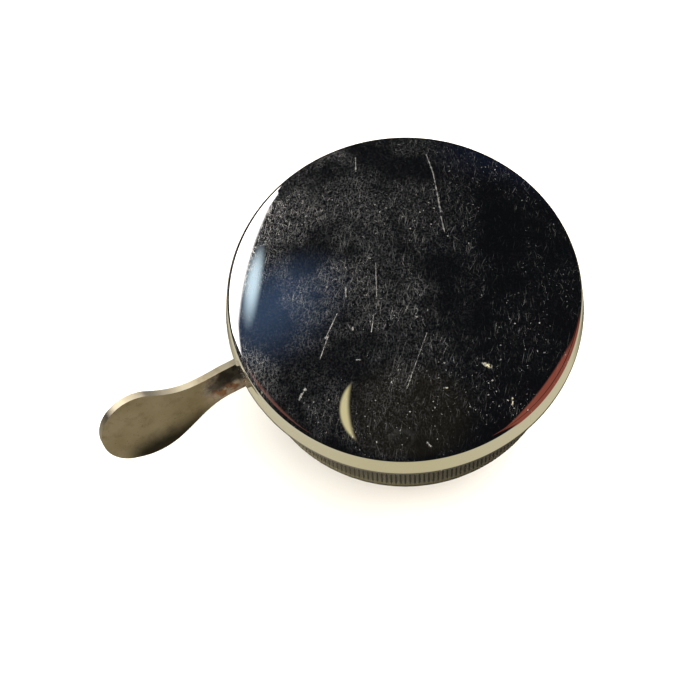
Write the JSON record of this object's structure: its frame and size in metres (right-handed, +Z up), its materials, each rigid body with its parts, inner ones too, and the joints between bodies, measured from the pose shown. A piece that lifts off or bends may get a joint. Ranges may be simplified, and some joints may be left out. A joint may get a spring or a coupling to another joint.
{
  "type": "bicycle bell",
  "caption": "Rotary bicycle bell with a shallow polished gong dome over a ribbed base cup, a spoon-shaped thumb lever at the side, and a two-half handlebar clamp.",
  "frame": {"origin": "middle of the handlebar clamp, on the handlebar's axis", "axes": "+Z up along the bell's axis, X along the handlebar, the rider on the -Y side, the lever towards -X"},
  "size_m": [0.082, 0.06, 0.0546],
  "materials": {
    "chrome": "polished, finely scratched",
    "nickel": "worn nickel plate",
    "satin": "satin nickel plate, worn and stained",
    "steel": "turned steel",
    "zinc": "zinc plate",
    "brass": "machined brass",
    "spring": "dark spring steel"
  },
  "bodies": {
    "frame": {"dome": "chrome", "dome_boss": "brass", "dome_lug_1": "steel", "dome_lug_2": "steel", "base_cup": "nickel", "centre_post": "steel", "post_locknut": "zinc", "rotor_clip": "spring", "mount_screw": "zinc", "lever_pivot": "steel", "lever_clip": "spring", "lever_spring": "spring", "spring_anchor": "steel", "idler_axle": "steel", "idler_clip": "spring", "clamp_saddle": "nickel", "clamp_strap": "nickel", "clamp_screw_1": "zinc", "clamp_washer_1": "zinc", "clamp_nut_1": "zinc", "clamp_screw_2": "zinc", "clamp_washer_2": "zinc", "clamp_nut_2": "zinc"},
    "lever": {"thumb_lever": "satin"},
    "idler": {"idler_pinion": "brass", "idler_wheel": "brass"},
    "rotor": {"rotor_pinion": "brass", "striker_bar": "zinc", "striker_pin_1": "steel", "striker_pin_2": "steel"},
    "striker_a": {"striker_washer_1": "zinc"},
    "striker_b": {"striker_washer_2": "zinc"}
  },
  "joints": [
    {"name": "lever_press", "type": "hinge", "parent": "frame", "child": "lever", "pos_m": [-0.0173, -0.0022, 0.0206], "axis": [0, 0, -1], "range_deg": [0, 28], "stiffness_Nm_per_rad": 0.06, "springref_deg": -40.11, "deforming": ["lever_spring"]},
    {"name": "idler_spin", "type": "hinge", "parent": "frame", "child": "idler", "pos_m": [-0.00743, 0.01139, 0.0206], "axis": [0, 0, 1], "range_deg": [0, 119.5]},
    {"name": "rotor_spin", "type": "hinge", "parent": "frame", "child": "rotor", "pos_m": [0, 0, 0.0222], "axis": [0, 0, -1], "range_deg": [0, 286]},
    {"name": "striker_a_spin", "type": "hinge", "parent": "rotor", "child": "striker_a", "pos_m": [0.0165, 0, 0.0347], "axis": [0, 0, 1], "continuous": true},
    {"name": "striker_b_spin", "type": "hinge", "parent": "rotor", "child": "striker_b", "pos_m": [-0.0165, 0, 0.0347], "axis": [0, 0, 1], "continuous": true}
  ],
  "couplings": [
    {"joint": "idler_spin", "follows": "lever_press", "ratio": 4.25},
    {"joint": "rotor_spin", "follows": "lever_press", "ratio": 10.2}
  ]
}
